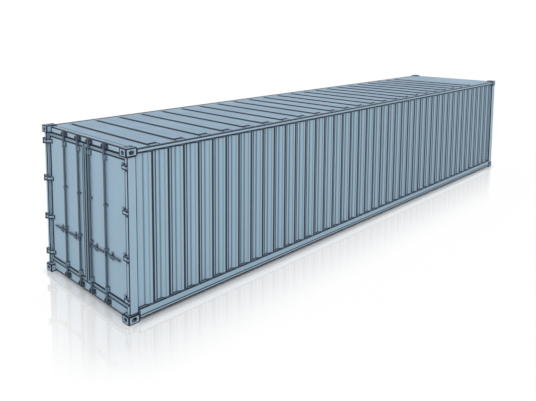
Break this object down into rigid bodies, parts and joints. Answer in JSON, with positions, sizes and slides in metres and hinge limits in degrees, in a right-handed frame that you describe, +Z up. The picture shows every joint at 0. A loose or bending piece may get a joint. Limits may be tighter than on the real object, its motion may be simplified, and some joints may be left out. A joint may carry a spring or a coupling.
{
  "type": "freight container",
  "caption": "Long steel freight container: corrugated walls, ribbed roof, hollow corner castings and two hinged end doors with locking bars and handles.",
  "frame": {"origin": "centre of the footprint, at the underside of the bottom corner castings", "axes": "+Z up, +Y along the container away from the doors, +X to the right of someone who faces the doors"},
  "size_m": [2.438, 12.192, 2.438],
  "materials": {
    "casting": "blue-grey paint over a cast surface",
    "frame_paint": "satin blue-grey paint",
    "wall_paint": "satin blue-grey paint on pressed sheet",
    "roof_paint": "satin blue-grey paint on pressed sheet",
    "door_paint": "satin blue-grey paint",
    "gear_steel": "blue-grey paint over zinc-coated steel",
    "seal_rubber": "matt",
    "floor_boards": "varnished plywood boards"
  },
  "bodies": {
    "container": {"casting_door_left_bottom": "casting", "casting_door_left_top": "casting", "casting_door_right_bottom": "casting", "casting_door_right_top": "casting", "casting_back_left_bottom": "casting", "casting_back_left_top": "casting", "casting_back_right_bottom": "casting", "casting_back_right_top": "casting", "door_header": "frame_paint", "door_sill": "frame_paint", "back_header": "frame_paint", "back_sill": "frame_paint", "back_wall": "wall_paint", "roof": "roof_paint", "floor": "floor_boards", "cross_members": "frame_paint", "keepers": "gear_steel", "hinge_lugs": "gear_steel", "door_post_left": "frame_paint", "back_post_left": "frame_paint", "top_rail_left": "frame_paint", "bottom_rail_left": "frame_paint", "side_wall_left": "wall_paint", "door_post_right": "frame_paint", "back_post_right": "frame_paint", "top_rail_right": "frame_paint", "bottom_rail_right": "frame_paint", "side_wall_right": "wall_paint"},
    "door_left": {"door_frame_left": "door_paint", "door_panel_left": "door_paint", "door_seal_left": "seal_rubber", "hinge_straps_left": "gear_steel", "bar_guides_left": "gear_steel", "handle_catches_left": "gear_steel"},
    "door_right": {"door_frame_right": "door_paint", "door_panel_right": "door_paint", "door_seal_right": "seal_rubber", "hinge_straps_right": "gear_steel", "bar_guides_right": "gear_steel", "handle_catches_right": "gear_steel"},
    "bar_left_inner": {"lock_bar_left_inner": "gear_steel", "lock_handle_left_inner": "gear_steel"},
    "bar_left_outer": {"lock_bar_left_outer": "gear_steel", "lock_handle_left_outer": "gear_steel"},
    "bar_right_inner": {"lock_bar_right_inner": "gear_steel", "lock_handle_right_inner": "gear_steel"},
    "bar_right_outer": {"lock_bar_right_outer": "gear_steel", "lock_handle_right_outer": "gear_steel"}
  },
  "joints": [
    {"name": "door_right_hinge", "type": "hinge", "parent": "container", "child": "door_right", "pos_m": [1.205, -6.082, 1.2], "axis": [0, 0, 1], "range_deg": [0, 270]},
    {"name": "bar_right_inner_turn", "type": "hinge", "parent": "door_right", "child": "bar_right_inner", "pos_m": [0.163, -6.045, 1.2], "axis": [0, 0, 1], "range_deg": [-90, 0]},
    {"name": "bar_right_outer_turn", "type": "hinge", "parent": "door_right", "child": "bar_right_outer", "pos_m": [0.588, -6.045, 1.2], "axis": [0, 0, 1], "range_deg": [-90, 0]},
    {"name": "door_left_hinge", "type": "hinge", "parent": "container", "child": "door_left", "pos_m": [-1.205, -6.082, 1.2], "axis": [0, 0, -1], "range_deg": [0, 270]},
    {"name": "bar_left_inner_turn", "type": "hinge", "parent": "door_left", "child": "bar_left_inner", "pos_m": [-0.163, -6.045, 1.2], "axis": [0, 0, -1], "range_deg": [-90, 0]},
    {"name": "bar_left_outer_turn", "type": "hinge", "parent": "door_left", "child": "bar_left_outer", "pos_m": [-0.588, -6.045, 1.2], "axis": [0, 0, -1], "range_deg": [-90, 0]}
  ]
}
